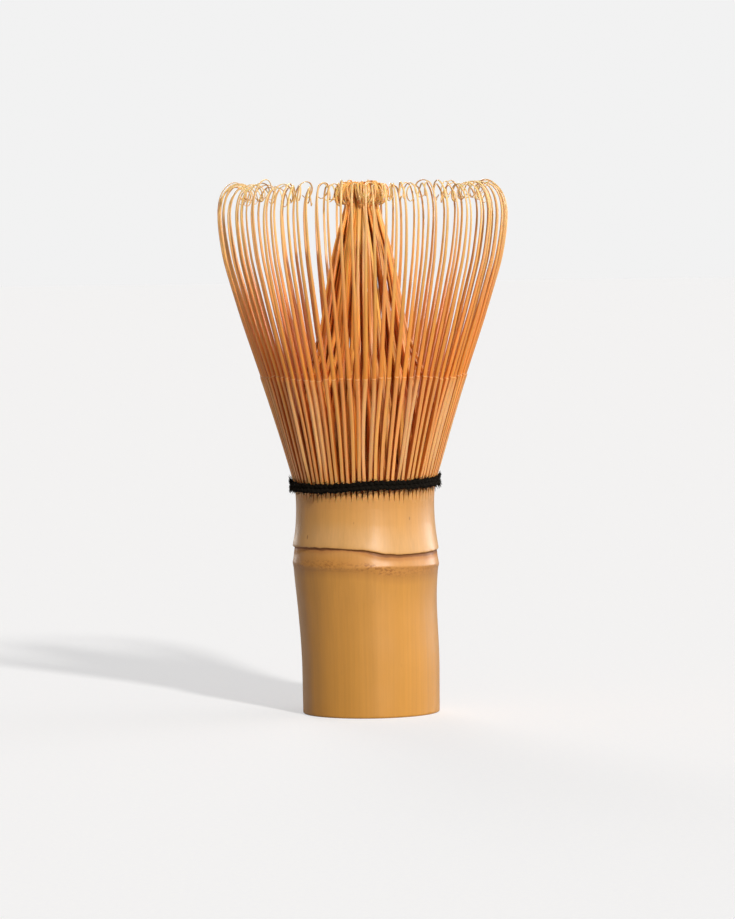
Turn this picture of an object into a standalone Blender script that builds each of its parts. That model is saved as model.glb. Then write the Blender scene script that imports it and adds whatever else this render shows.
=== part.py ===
"""Bamboo tea whisk (chasen), standing on its handle.

One length of bamboo culm is the handle. Above its node the wall is split into
sixteen wedges, and each wedge into five stout outer tines and five thin inner
tines. The outer tines flare into a cage whose tips hook inwards, the inner
tines lean together into a bundle, and a black thread twined round the roots of
the outer tines keeps the two rings apart.

Frame: +Z runs up the whisk, the origin is on the table under the middle of the
cage, and -Y is the front. Metres.
"""

import math

import bmesh
import bpy
from mathutils import Matrix, Vector

MM = 0.001

# ---- driving dimensions, millimetres and degrees -------------------------
WEDGES = 16                # first splits of the culm wall
TINES_PER_WEDGE = 5        # outer tines in a wedge, and as many inner ones
WEDGE_DEG = 360.0 / WEDGES
PITCH_DEG = WEDGE_DEG / TINES_PER_WEDGE

# Handle culm: (height, outer radius), from the split roots down to the base.
SPLIT_Z = 44.6
CULM_OUTSIDE = [
    (SPLIT_Z, 14.50),
    (41.3, 14.55),
    (38.0, 14.82),
    (35.7, 15.25),
    (34.7, 15.35),          # lip of the sheath scar
    (34.25, 14.95),         # groove under the lip
    (33.8, 15.02),
    (32.4, 15.22),
    (31.1, 15.30),          # crest of the node ridge
    (29.2, 15.15),
    (27.2, 14.98),
    (23.2, 14.72),
    (17.2, 14.53),
    (9.1, 14.45),
    (0.5, 14.32),
    (0.0, 14.00),           # eased foot
]
BORE_RADIUS = 10.6         # hollow of the lower internode, open at the foot
CUP_RADIUS = 11.0          # hollow above the diaphragm
DIAPHRAGM_LOW, DIAPHRAGM_HIGH = 31.6, 34.2
CULM_SIDES = 36
KINK_MM = 0.78             # the lower internode leans this far to +X at the foot
KINK_TOP_Z, KINK_LOW_Z = 29.0, 9.0

# Outer tine: (radius of its middle line, height, size factor)
OUTER_PATH = [
    (13.95, 45.2, 1.00),
    (14.75, 49.3, 1.00),
    (21.20, 69.9, 0.86),
    (27.20, 88.0, 0.72),
    (30.00, 100.3, 0.62),
    (30.15, 106.0, 0.56),
    (28.90, 109.9, 0.52),
    (26.60, 110.9, 0.48),
    (24.80, 108.6, 0.44),
]
OUTER_WIDTH, OUTER_THICK = 0.86, 0.68
OUTER_BAND = (13.35, 14.50, 45.0, 46.4)     # radii and heights of the unsplit root

# Inner tine
INNER_PATH = [
    (12.00, 46.5, 1.00),
    (11.75, 56.0, 0.95),
    (10.30, 73.0, 0.85),
    (7.30, 92.0, 0.66),
    (4.45, 104.0, 0.48),
    (4.15, 107.4, 0.45),
    (4.60, 110.6, 0.45),
    (5.10, 111.5, 0.45),
    (5.50, 110.2, 0.45),
]
INNER_WIDTH, INNER_THICK = 0.52, 0.90
INNER_BAND = (11.30, 12.70, 46.2, 47.6)
BAND_HALF_DEG = 10.95

# The tines bend about the thread line.
HINGE_RADIUS, HINGE_Z = 14.45, 47.7
INNER_HINGE_Z = 46.9

# Black binding thread, twined twice round
THREAD_RING_RADIUS = 15.65
THREAD_RADIUS = 0.43
THREAD_HEIGHTS = {"thread_course_lower": 47.15, "thread_course_upper": 48.25}
KNOT_DEG = 24.0
KNOT_Z = 49.25


def clear_scene():
    for obj in list(bpy.data.objects):
        bpy.data.objects.remove(obj)
    for coll in list(bpy.data.collections):
        bpy.data.collections.remove(coll)


def new_collection(name):
    coll = bpy.data.collections.new(name)
    bpy.context.scene.collection.children.link(coll)
    return coll


def principled(name, colour, roughness, metallic=0.0):
    mat = bpy.data.materials.new(name)
    mat.use_nodes = True
    shader = mat.node_tree.nodes["Principled BSDF"]
    shader.inputs["Base Color"].default_value = (*colour, 1.0)
    shader.inputs["Roughness"].default_value = roughness
    shader.inputs["Metallic"].default_value = metallic
    mat.diffuse_color = (*colour, 1.0)
    return mat


def smoothstep(t):
    t = min(1.0, max(0.0, t))
    return t * t * (3.0 - 2.0 * t)


def mesh_object(name, mesh, coll, material):
    obj = bpy.data.objects.new(name, mesh)
    coll.objects.link(obj)
    mesh.materials.clear()
    mesh.materials.append(material)
    return obj


def evaluated_mesh(obj, name):
    """The object's shape with its modifiers, as a welded mesh in world space."""
    bpy.context.view_layer.update()
    graph = bpy.context.evaluated_depsgraph_get()
    mesh = bpy.data.meshes.new_from_object(obj.evaluated_get(graph))
    mesh.name = name
    mesh.transform(obj.matrix_world)
    bm = bmesh.new()
    bm.from_mesh(mesh)
    bmesh.ops.remove_doubles(bm, verts=bm.verts, dist=1e-6)
    bmesh.ops.recalc_face_normals(bm, faces=bm.faces)
    bm.to_mesh(mesh)
    bm.free()
    return mesh


def round_shading(mesh, angle_deg=35.0):
    mesh.shade_smooth()
    mesh.set_sharp_from_angle(angle=math.radians(angle_deg))


# ---- handle ---------------------------------------------------------------
def make_culm(coll, helpers, material):
    """A turned wall with its diaphragm, open at the foot and at the split end."""
    profile = [(0.0, DIAPHRAGM_HIGH - 0.4), (6.0, DIAPHRAGM_HIGH - 0.25)]
    profile += [(CUP_RADIUS - 1.0, DIAPHRAGM_HIGH), (CUP_RADIUS, DIAPHRAGM_HIGH + 1.0)]
    profile += [(CUP_RADIUS, SPLIT_Z)]
    profile += [(r, z) for z, r in CULM_OUTSIDE]
    profile += [(BORE_RADIUS, 0.0), (BORE_RADIUS, DIAPHRAGM_LOW - 1.0)]
    profile += [(BORE_RADIUS - 1.0, DIAPHRAGM_LOW), (0.0, DIAPHRAGM_LOW - 0.3)]
    line = bpy.data.meshes.new("culm_profile")
    points = [(r * MM, 0.0, z * MM) for r, z in profile]
    line.from_pydata(points, [(i, i + 1) for i in range(len(points) - 1)], [])
    obj = bpy.data.objects.new("culm_profile", line)
    helpers.objects.link(obj)
    screw = obj.modifiers.new("turn", "SCREW")
    screw.axis = "Z"
    screw.angle = math.tau
    screw.steps = screw.render_steps = CULM_SIDES
    screw.use_merge_vertices = True
    screw.merge_threshold = 0.00001
    screw.use_smooth_shade = True
    mesh = evaluated_mesh(obj, "culm_handle")
    bpy.data.objects.remove(obj)
    for vert in mesh.vertices:
        z = vert.co.z / MM
        lean = smoothstep((KINK_TOP_Z - z) / (KINK_TOP_Z - KINK_LOW_Z))
        vert.co.x += KINK_MM * MM * lean
    round_shading(mesh, 50.0)
    return mesh_object("culm_handle", mesh, coll, material)


# ---- tines ------------------------------------------------------------------
def rectangle_section(helpers, name, width, thick):
    curve = bpy.data.curves.new(name, "CURVE")
    curve.dimensions = "2D"
    spline = curve.splines.new("POLY")
    corners = [(-1, -1), (1, -1), (1, 1), (-1, 1)]
    spline.points.add(len(corners) - 1)
    for point, (sx, sy) in zip(spline.points, corners):
        point.co = (sx * width / 2 * MM, sy * thick / 2 * MM, 0.0, 1.0)
    spline.use_cyclic_u = True
    obj = bpy.data.objects.new(name, curve)
    obj.hide_render = True
    obj.display_type = "WIRE"
    helpers.objects.link(obj)
    return obj


def make_tine(helpers, name, path, section):
    """One split of bamboo, swept along its path in the XZ plane."""
    curve = bpy.data.curves.new(name, "CURVE")
    curve.dimensions = "3D"
    curve.twist_mode = "MINIMUM"
    curve.bevel_mode = "OBJECT"
    curve.bevel_object = section
    curve.use_fill_caps = True
    spline = curve.splines.new("POLY")
    spline.points.add(len(path) - 1)
    for point, (r, z, size) in zip(spline.points, path):
        point.co = (r * MM, 0.0, z * MM, 1.0)
        point.radius = size
    obj = bpy.data.objects.new(name, curve)
    helpers.objects.link(obj)
    mesh = evaluated_mesh(obj, name)
    bpy.data.objects.remove(obj)
    return mesh


def make_band(helpers, name, sizes):
    """The unsplit root of one wedge: a flat sector outline, extruded upwards."""
    r_in, r_out, z_low, z_high = sizes
    steps = 4
    angles = [math.radians(BAND_HALF_DEG * (2 * i / steps - 1)) for i in range(steps + 1)]
    outline = [(r_out * math.cos(a), r_out * math.sin(a)) for a in angles]
    outline += [(r_in * math.cos(a), r_in * math.sin(a)) for a in reversed(angles)]
    curve = bpy.data.curves.new(name, "CURVE")
    curve.dimensions = "2D"
    curve.fill_mode = "BOTH"
    curve.extrude = (z_high - z_low) / 2 * MM
    spline = curve.splines.new("POLY")
    spline.points.add(len(outline) - 1)
    for point, (x, y) in zip(spline.points, outline):
        point.co = (x * MM, y * MM, 0.0, 1.0)
    spline.use_cyclic_u = True
    obj = bpy.data.objects.new(name, curve)
    obj.location = (0.0, 0.0, (z_low + z_high) / 2 * MM)
    helpers.objects.link(obj)
    mesh = evaluated_mesh(obj, name)
    bpy.data.objects.remove(obj)
    return mesh


def make_wedge(helpers, name, path, section, band):
    """Five tines united with the root they are split from."""
    root = bpy.data.objects.new(name + "_root", make_band(helpers, name + "_root", band))
    helpers.objects.link(root)
    tine = make_tine(helpers, name + "_tine", path, section)
    tools = []
    for i in range(TINES_PER_WEDGE):
        turn = math.radians(PITCH_DEG * (i - (TINES_PER_WEDGE - 1) / 2))
        part = bpy.data.objects.new(f"{name}_tine_{i}", tine.copy())
        part.data.transform(Matrix.Rotation(turn, 4, "Z"))
        part.hide_render = True
        part.display_type = "WIRE"
        helpers.objects.link(part)
        join = root.modifiers.new(f"join_{i}", "BOOLEAN")
        join.operation = "UNION"
        join.solver = "EXACT"
        join.object = part
        tools.append(part)
    mesh = evaluated_mesh(root, name)
    for obj in (root, *tools):
        bpy.data.objects.remove(obj)
    return mesh


def place_wedges(coll, label, mesh, material, offset_deg, pivot_radius, pivot_z):
    """Sixteen copies of a wedge, each hung from an empty on its bending axis."""
    for k in range(WEDGES):
        turn = math.radians(WEDGE_DEG * k + offset_deg)
        pivot = bpy.data.objects.new(f"{label}_root_axis_{k + 1:02d}", None)
        pivot.empty_display_size = 0.002
        pivot.location = (
            pivot_radius * MM * math.cos(turn),
            pivot_radius * MM * math.sin(turn),
            pivot_z * MM,
        )
        pivot.rotation_euler = (0.0, 0.0, turn)
        coll.objects.link(pivot)
        obj = bpy.data.objects.new(f"{label}_{k + 1:02d}", mesh)
        obj.parent = pivot
        obj.location = (-pivot_radius * MM, 0.0, -pivot_z * MM)
        coll.objects.link(obj)
    mesh.materials.clear()
    mesh.materials.append(material)


# ---- thread -----------------------------------------------------------------
def make_thread(coll, material):
    for name, height in THREAD_HEIGHTS.items():
        bpy.ops.mesh.primitive_torus_add(
            major_radius=THREAD_RING_RADIUS * MM,
            minor_radius=THREAD_RADIUS * MM,
            major_segments=40,
            minor_segments=6,
            location=(0.0, 0.0, height * MM),
        )
        ring = bpy.context.object
        ring.name = name
        for old in list(ring.users_collection):
            old.objects.unlink(ring)
        coll.objects.link(ring)
        ring.data.materials.append(material)
        ring.data.shade_smooth()
    turn = math.radians(KNOT_DEG)
    radius = THREAD_RING_RADIUS + 0.3
    bpy.ops.mesh.primitive_uv_sphere_add(
        segments=10,
        ring_count=6,
        radius=0.5 * MM,
        location=(radius * MM * math.cos(turn), radius * MM * math.sin(turn), KNOT_Z * MM),
        rotation=(0.0, 0.0, turn),
    )
    knot = bpy.context.object
    knot.name = "thread_knot"
    knot.data.transform(Matrix.Diagonal(Vector((0.9, 1.7, 0.9, 1.0))))
    for old in list(knot.users_collection):
        old.objects.unlink(knot)
    coll.objects.link(knot)
    knot.data.materials.append(material)
    knot.data.shade_smooth()


def main():
    clear_scene()
    whisk = new_collection("bamboo_tea_whisk")
    helpers = new_collection("helpers")
    culm_skin = principled("culm", (0.62, 0.38, 0.15), 0.42)
    outer_wood = principled("outer_tine", (0.66, 0.36, 0.12), 0.50)
    inner_wood = principled("inner_tine", (0.60, 0.30, 0.09), 0.55)
    thread = principled("thread", (0.012, 0.012, 0.014), 0.85)

    make_culm(whisk, helpers, culm_skin)

    section = rectangle_section(helpers, "outer_section", OUTER_WIDTH, OUTER_THICK)
    outer = make_wedge(helpers, "outer_tines", OUTER_PATH, section, OUTER_BAND)
    place_wedges(whisk, "outer_tines", outer, outer_wood, 0.0, HINGE_RADIUS, HINGE_Z)

    section = rectangle_section(helpers, "inner_section", INNER_WIDTH, INNER_THICK)
    inner = make_wedge(helpers, "inner_tines", INNER_PATH, section, INNER_BAND)
    place_wedges(whisk, "inner_tines", inner, inner_wood, PITCH_DEG / 2, 0.0, INNER_HINGE_Z)

    make_thread(whisk, thread)
    for obj in list(helpers.objects):
        if obj.type == "CURVE":
            bpy.data.objects.remove(obj)


main()
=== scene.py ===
import math

import bmesh
import bpy
import numpy as np
from mathutils import Matrix, Vector


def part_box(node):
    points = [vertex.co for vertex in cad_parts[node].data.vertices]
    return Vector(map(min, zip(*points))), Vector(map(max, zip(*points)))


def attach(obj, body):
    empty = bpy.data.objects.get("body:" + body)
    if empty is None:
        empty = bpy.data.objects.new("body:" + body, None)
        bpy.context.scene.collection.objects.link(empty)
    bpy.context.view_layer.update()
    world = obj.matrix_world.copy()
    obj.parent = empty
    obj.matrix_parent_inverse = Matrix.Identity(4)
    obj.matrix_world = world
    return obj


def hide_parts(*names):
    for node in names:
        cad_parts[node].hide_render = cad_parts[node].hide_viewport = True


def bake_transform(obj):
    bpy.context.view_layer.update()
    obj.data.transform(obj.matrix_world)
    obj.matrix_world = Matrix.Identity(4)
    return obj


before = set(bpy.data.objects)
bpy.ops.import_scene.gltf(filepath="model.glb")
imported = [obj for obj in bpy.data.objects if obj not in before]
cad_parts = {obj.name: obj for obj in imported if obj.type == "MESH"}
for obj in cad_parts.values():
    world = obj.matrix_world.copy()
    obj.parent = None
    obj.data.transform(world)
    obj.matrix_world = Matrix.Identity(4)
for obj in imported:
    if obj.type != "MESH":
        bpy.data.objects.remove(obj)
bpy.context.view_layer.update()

MM = 0.001

# ---------------------------------------------------------------- layout
WEDGES = 16
PER_WEDGE = 5
PITCH = math.radians(4.5)
KINK_MM, KINK_TOP_Z, KINK_LOW_Z = 0.78, 29.0, 9.0

scene = bpy.context.scene
scene.view_settings.view_transform = "Standard"


def smoothstep(t):
    t = np.clip(t, 0.0, 1.0)
    return t * t * (3.0 - 2.0 * t)


def ring_wave(seed, harmonics, amplitude):
    """A smooth periodic function of an angle, for irregularities round the culm."""
    rng = np.random.RandomState(seed)
    terms = [
        (k, rng.normal() / (1.0 + 0.25 * k), rng.uniform(0, math.tau)) for k in harmonics
    ]
    scale = amplitude / math.sqrt(sum(a * a for _, a, _ in terms) / 2 + 1e-9)

    def f(angle):
        return scale * sum(a * np.cos(k * angle + p) for k, a, p in terms)

    return f


def azimuth(x, y):
    """0 at the front (-Y), positive towards +X, in radians."""
    return np.arctan2(x, -y)


def periodic(azimuths_deg, values):
    """Smooth periodic interpolation of values given at azimuths."""
    a = np.radians(np.array(azimuths_deg, float))
    v = np.array(values, float)
    order = np.argsort(a)
    a, v = a[order], v[order]
    a3 = np.concatenate([a - math.tau, a, a + math.tau])
    v3 = np.concatenate([v, v, v])
    slopes = np.gradient(v3, a3)

    def f(angle):
        x = np.mod(np.asarray(angle, float) + math.pi, math.tau) - math.pi
        i = np.clip(np.searchsorted(a3, x) - 1, 0, len(a3) - 2)
        h = a3[i + 1] - a3[i]
        t = (x - a3[i]) / h
        h00 = 2 * t**3 - 3 * t**2 + 1
        h10 = t**3 - 2 * t**2 + t
        h01 = -2 * t**3 + 3 * t**2
        h11 = t**3 - t**2
        return h00 * v3[i] + h10 * h * slopes[i] + h01 * v3[i + 1] + h11 * h * slopes[i + 1]

    return f


# ---------------------------------------------------------------- mesh helper
class Builder:
    """Collects vertices, faces and per-vertex values, then makes one mesh object."""

    def __init__(self):
        self.co, self.faces, self.slots = [], [], []
        self.values = {}
        self.count = 0

    def add(self, co, faces, slots=None, **values):
        base = self.count
        self.co.append(np.asarray(co, float))
        self.count += len(co)
        self.faces += [tuple(i + base for i in f) for f in faces]
        self.slots += list(slots) if slots is not None else [0] * len(faces)
        for key, v in values.items():
            self.values.setdefault(key, []).append(np.asarray(v, float))

    def make(self, name, materials, angle=35.0):
        mesh = bpy.data.meshes.new(name)
        co = np.concatenate(self.co) * MM
        mesh.from_pydata(co.tolist(), [], self.faces)
        for key, parts in self.values.items():
            v = np.concatenate(parts)
            if v.ndim == 1:
                layer = mesh.attributes.new(key, "FLOAT", "POINT")
                layer.data.foreach_set("value", v.astype(np.float32))
            else:
                layer = mesh.attributes.new(key, "FLOAT_VECTOR", "POINT")
                layer.data.foreach_set("vector", v.astype(np.float32).ravel())
        for m in materials:
            mesh.materials.append(m)
        mesh.polygons.foreach_set("material_index", self.slots)
        mesh.update()
        mesh.shade_smooth()
        mesh.set_sharp_from_angle(angle=math.radians(angle))
        obj = bpy.data.objects.new(name, mesh)
        scene.collection.objects.link(obj)
        return obj


def tube_faces(rings, sides):
    """Quads of a swept section, closed by a cap at each end."""
    faces = []
    for k in range(rings - 1):
        for i in range(sides):
            j = (i + 1) % sides
            a, b = k * sides, (k + 1) * sides
            faces.append((a + i, a + j, b + j, b + i))
    faces.append(tuple(reversed(range(sides))))
    faces.append(tuple((rings - 1) * sides + i for i in range(sides)))
    return faces


def catmull(points, per=24):
    """A smooth dense polyline through the control points (any number of columns)."""
    p = np.array(points, float)
    p = np.vstack([2 * p[0] - p[1], p, 2 * p[-1] - p[-2]])
    out = []
    for i in range(1, len(p) - 2):
        p0, p1, p2, p3 = p[i - 1 : i + 3]
        for t in np.linspace(0, 1, per, endpoint=False):
            out.append(
                0.5
                * (
                    2 * p1
                    + (p2 - p0) * t
                    + (2 * p0 - 5 * p1 + 4 * p2 - p3) * t * t
                    + (3 * p1 - p0 - 3 * p2 + p3) * t**3
                )
            )
    out.append(p[-2])
    return np.array(out)


def arc_length(p):
    return np.concatenate([[0.0], np.cumsum(np.linalg.norm(np.diff(p, axis=0), axis=1))])


def unit(v):
    return v / np.maximum(np.linalg.norm(v, axis=-1, keepdims=True), 1e-12)


# ---------------------------------------------------------------- materials
def srgb(r, g, b):
    def f(c):
        c /= 255.0
        return c / 12.92 if c <= 0.04045 else ((c + 0.055) / 1.055) ** 2.4

    return (f(r), f(g), f(b), 1.0)


class Nodes:
    """A short way to write a node tree."""

    def __init__(self, name):
        self.mat = bpy.data.materials.new(name)
        self.mat.use_nodes = True
        self.tree = self.mat.node_tree
        self.shader = self.tree.nodes["Principled BSDF"]

    def node(self, kind, **settings):
        n = self.tree.nodes.new(kind)
        for key, value in settings.items():
            setattr(n, key, value)
        return n

    def link(self, a, b):
        self.tree.links.new(a, b)

    def put(self, value, socket):
        if isinstance(value, bpy.types.NodeSocket):
            self.link(value, socket)
        else:
            socket.default_value = value

    def attribute(self, name, vector=False):
        n = self.node("ShaderNodeAttribute", attribute_name=name)
        return n.outputs["Vector" if vector else "Fac"]

    def scaled(self, vector, scale, offset=(0, 0, 0)):
        n = self.node("ShaderNodeMapping")
        self.link(vector, n.inputs["Vector"])
        n.inputs["Scale"].default_value = scale
        n.inputs["Location"].default_value = offset
        return n.outputs["Vector"]

    def noise(self, vector, scale=1.0, detail=3.0, rough=0.55, distortion=0.0):
        n = self.node("ShaderNodeTexNoise")
        self.link(vector, n.inputs["Vector"])
        n.inputs["Scale"].default_value = scale
        n.inputs["Detail"].default_value = detail
        n.inputs["Roughness"].default_value = rough
        n.inputs["Distortion"].default_value = distortion
        return n.outputs["Fac"]

    def math(self, op, a, b=0.0, c=0.0, clamp=False):
        n = self.node("ShaderNodeMath", operation=op)
        n.use_clamp = clamp
        self.put(a, n.inputs[0])
        self.put(b, n.inputs[1])
        self.put(c, n.inputs[2])
        return n.outputs[0]

    def span(self, value, lo, hi, to_lo=0.0, to_hi=1.0, smooth=False):
        n = self.node("ShaderNodeMapRange")
        n.interpolation_type = "SMOOTHSTEP" if smooth else "LINEAR"
        self.put(value, n.inputs["Value"])
        n.inputs["From Min"].default_value = lo
        n.inputs["From Max"].default_value = hi
        n.inputs["To Min"].default_value = to_lo
        n.inputs["To Max"].default_value = to_hi
        return n.outputs["Result"]

    def ramp(self, fac, stops, mode="LINEAR"):
        n = self.node("ShaderNodeValToRGB")
        n.color_ramp.interpolation = mode
        e = n.color_ramp.elements
        while len(e) > 1:
            e.remove(e[-1])
        e[0].position, e[0].color = stops[0]
        for pos, colour in stops[1:]:
            item = e.new(pos)
            item.color = colour
        self.link(fac, n.inputs["Fac"])
        return n.outputs["Color"]

    def mix(self, fac, a, b, mode="MIX"):
        n = self.node("ShaderNodeMix", data_type="RGBA", blend_type=mode)
        n.clamp_factor = True
        self.put(fac, n.inputs[0])
        self.put(a, n.inputs[6])
        self.put(b, n.inputs[7])
        return n.outputs[2]

    def value_shift(self, colour, value, saturation=1.0, hue=0.5):
        n = self.node("ShaderNodeHueSaturation")
        self.put(hue, n.inputs["Hue"])
        self.put(saturation, n.inputs["Saturation"])
        self.put(value, n.inputs["Value"])
        self.put(colour, n.inputs["Color"])
        return n.outputs["Color"]

    def bump(self, height, strength, distance, normal=None):
        n = self.node("ShaderNodeBump")
        self.link(height, n.inputs["Height"])
        n.inputs["Strength"].default_value = strength
        n.inputs["Distance"].default_value = distance
        if normal is not None:
            self.link(normal, n.inputs["Normal"])
        return n.outputs["Normal"]

    def object_coords(self):
        return self.node("ShaderNodeTexCoord").outputs["Object"]


CULM_LOW = srgb(204, 145, 60)
CULM_MID = srgb(204, 145, 64)
CULM_RIDGE = srgb(202, 141, 68)
CULM_UPPER = srgb(213, 160, 90)
GROOVE_DARK = srgb(124, 74, 26)


def culm_colour(n, scar, coords):
    """Waxed bamboo skin: paler above the scar, warmer and mottled at the ridge, with fine straight fibres. The whitish
    patch just above the scar is partly bloom and partly a painted highlight.
    """
    colour = n.ramp(
        n.span(scar, -36.0, 12.0),
        [
            (0.00, CULM_LOW),
            (0.55, CULM_MID),
            (0.615, CULM_MID),
            (0.652, srgb(190, 132, 58)),
            (0.688, CULM_RIDGE),
            (0.744, srgb(208, 150, 80)),
            (0.756, CULM_UPPER),
            (0.86, srgb(212, 156, 84)),
            (1.00, srgb(208, 148, 76)),
        ],
    )
    fine = n.noise(n.scaled(coords, (1900, 1900, 30)), detail=5, rough=0.65)
    broad = n.noise(n.scaled(coords, (330, 330, 9)), detail=2, rough=0.5)
    cloud = n.noise(n.scaled(coords, (90, 90, 45)), detail=3, rough=0.55)
    lift = n.math("ADD", n.span(fine, 0.3, 0.7, -0.05, 0.05), n.span(broad, 0.3, 0.7, -0.045, 0.045))
    lift = n.math("ADD", lift, n.span(cloud, 0.3, 0.7, -0.05, 0.05))
    # the whitish patch just above the scar: partly real bloom, partly a painted soft highlight
    bloom_and_highlight = n.math("MULTIPLY", n.span(scar, 0.0, 0.7, 0, 1, True), n.span(scar, 6.5, 2.0, 0, 1, True))
    bloom_and_highlight = n.math("MULTIPLY", bloom_and_highlight, n.span(cloud, 0.30, 0.70, 0.15, 0.62))
    colour = n.mix(bloom_and_highlight, colour, srgb(218, 173, 120))
    return n.value_shift(colour, n.math("ADD", lift, 1.0)), fine, broad, cloud


def make_culm_skin():
    n = Nodes("bamboo_skin")
    coords = n.object_coords()
    scar = n.attribute("scar")
    colour, fine, broad, cloud = culm_colour(n, scar, coords)

    # mottling in a band just under the ridge
    mottle = n.noise(n.scaled(coords, (1300, 1300, 2300)), detail=4, rough=0.65)
    band = n.math(
        "MULTIPLY",
        n.span(scar, -5.0, -3.9, 0, 1, True),
        n.span(scar, -2.2, -3.0, 0, 1, True),
    )
    band = n.math("MULTIPLY", band, n.span(cloud, 0.38, 0.62, 0.5, 1.0, True))
    mottle = n.math("MULTIPLY", n.span(mottle, 0.46, 0.62, 0, 1, True), band)
    colour = n.mix(n.math("MULTIPLY", mottle, 0.74), colour, srgb(150, 92, 40))

    # small dark specks, longer along the fibres, mostly above the scar
    cells = n.node("ShaderNodeTexVoronoi", feature="F1")
    n.link(n.scaled(coords, (420, 420, 210)), cells.inputs["Vector"])
    cells.inputs["Scale"].default_value = 1.0
    dots = n.span(cells.outputs["Distance"], 0.075, 0.13, 1, 0, True)
    pick = n.node("ShaderNodeSeparateColor")
    n.link(cells.outputs["Color"], pick.inputs[0])
    where = n.math("MULTIPLY", n.span(scar, -0.6, 0.8, 0.1, 1, True), n.span(scar, 9.5, 7.0, 0, 1, True))
    dots = n.math("MULTIPLY", dots, n.math("GREATER_THAN", pick.outputs[0], 0.60))
    dots = n.math("MULTIPLY", dots, where)
    colour = n.mix(n.math("MULTIPLY", dots, 0.6), colour, srgb(134, 84, 42))

    # the scar line
    wobble = n.span(n.noise(n.scaled(coords, (700, 700, 900)), detail=3), 0.3, 0.7, -0.06, 0.06)
    d = n.math("ADD", scar, wobble)
    # its width changes round the culm
    width = n.span(n.noise(n.scaled(coords, (75, 75, 5)), detail=1), 0.35, 0.65, 0.65, 1.5, True)
    low = n.math("DIVIDE", d, width)
    line = n.math(
        "MULTIPLY", n.span(low, -0.66, -0.34, 0, 1, True), n.span(d, 0.10, 0.0, 0, 1, True)
    )
    # painted shadow: a soft brown shade just below the scar line
    scar_shadow_paint = n.math(
        "MULTIPLY", n.span(low, -1.5, -0.45, 0, 1, True), n.span(d, 0.06, -0.1, 0, 1, True)
    )
    colour = n.mix(n.math("MULTIPLY", scar_shadow_paint, 0.55), colour, srgb(170, 102, 52))
    colour = n.mix(n.math("MULTIPLY", line, 0.9), colour, GROOVE_DARK)
    n.link(colour, n.shader.inputs["Base Color"])

    rough = n.span(fine, 0.25, 0.75, 0.34, 0.46)
    rough = n.math("SUBTRACT", rough, n.math("MULTIPLY", n.math("MULTIPLY", n.span(scar, -0.2, 0.8, 0, 1, True), n.span(scar, 7.0, 3.5, 0, 1, True)), 0.02))
    rough = n.math("ADD", rough, n.span(n.noise(n.scaled(coords, (260, 260, 200)), detail=3), 0.35, 0.7, -0.05, 0.07))
    dull = n.math("MULTIPLY", n.span(d, -1.7, -0.9, 0, 0.45, True), n.span(d, 0.12, 0.0, 0, 1, True))
    n.link(n.math("ADD", rough, dull), n.shader.inputs["Roughness"])
    pebble = n.noise(n.scaled(coords, (1500, 1500, 1300)), detail=2)
    ridge_band = n.math(
        "MULTIPLY", n.span(scar, -4.6, -3.6, 0, 1, True), n.span(scar, -1.6, -2.6, 0, 1, True)
    )
    height = n.math("ADD", n.math("MULTIPLY", fine, 0.5), n.math("MULTIPLY", broad, 0.6))
    height = n.math("ADD", height, n.math("MULTIPLY", n.math("MULTIPLY", pebble, ridge_band), 1.3))
    n.link(n.bump(height, 0.22, 0.00012), n.shader.inputs["Normal"])
    n.shader.inputs["Specular IOR Level"].default_value = 0.5
    n.shader.inputs["Coat Weight"].default_value = 0.30
    n.shader.inputs["Coat Roughness"].default_value = 0.24
    return n.mat


def make_culm_cut():
    """Sawn end grain: pale, with the dark dots of the vascular bundles, denser near the skin."""
    n = Nodes("bamboo_cut_end")
    coords = n.object_coords()
    cells = n.node("ShaderNodeTexVoronoi", feature="F1")
    n.link(n.scaled(coords, (1900, 1900, 300)), cells.inputs["Vector"])
    cells.inputs["Scale"].default_value = 1.0
    dots = n.span(cells.outputs["Distance"], 0.18, 0.36, 1, 0, True)
    grain = n.noise(n.scaled(coords, (900, 900, 900)), detail=4)
    colour = n.mix(n.span(grain, 0.3, 0.7), srgb(224, 180, 120), srgb(238, 200, 146))
    colour = n.mix(n.math("MULTIPLY", dots, 0.65), colour, srgb(150, 96, 48))
    n.link(colour, n.shader.inputs["Base Color"])
    n.link(n.span(grain, 0.3, 0.7, 0.62, 0.8), n.shader.inputs["Roughness"])
    n.link(n.bump(dots, 0.4, 0.00008), n.shader.inputs["Normal"])
    return n.mat


def make_culm_inside():
    n = Nodes("bamboo_inside")
    coords = n.object_coords()
    fibre = n.noise(n.scaled(coords, (1300, 1300, 40)), detail=4)
    film = n.noise(n.scaled(coords, (240, 240, 160)), detail=4, rough=0.6)
    colour = n.mix(n.span(fibre, 0.3, 0.7), srgb(206, 160, 100), srgb(226, 188, 132))
    colour = n.mix(n.span(film, 0.45, 0.62, 0, 0.5, True), colour, srgb(168, 116, 62))
    n.link(colour, n.shader.inputs["Base Color"])
    n.link(n.span(film, 0.3, 0.7, 0.66, 0.85), n.shader.inputs["Roughness"])
    n.link(n.bump(fibre, 0.35, 0.0001), n.shader.inputs["Normal"])
    return n.mat


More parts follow.
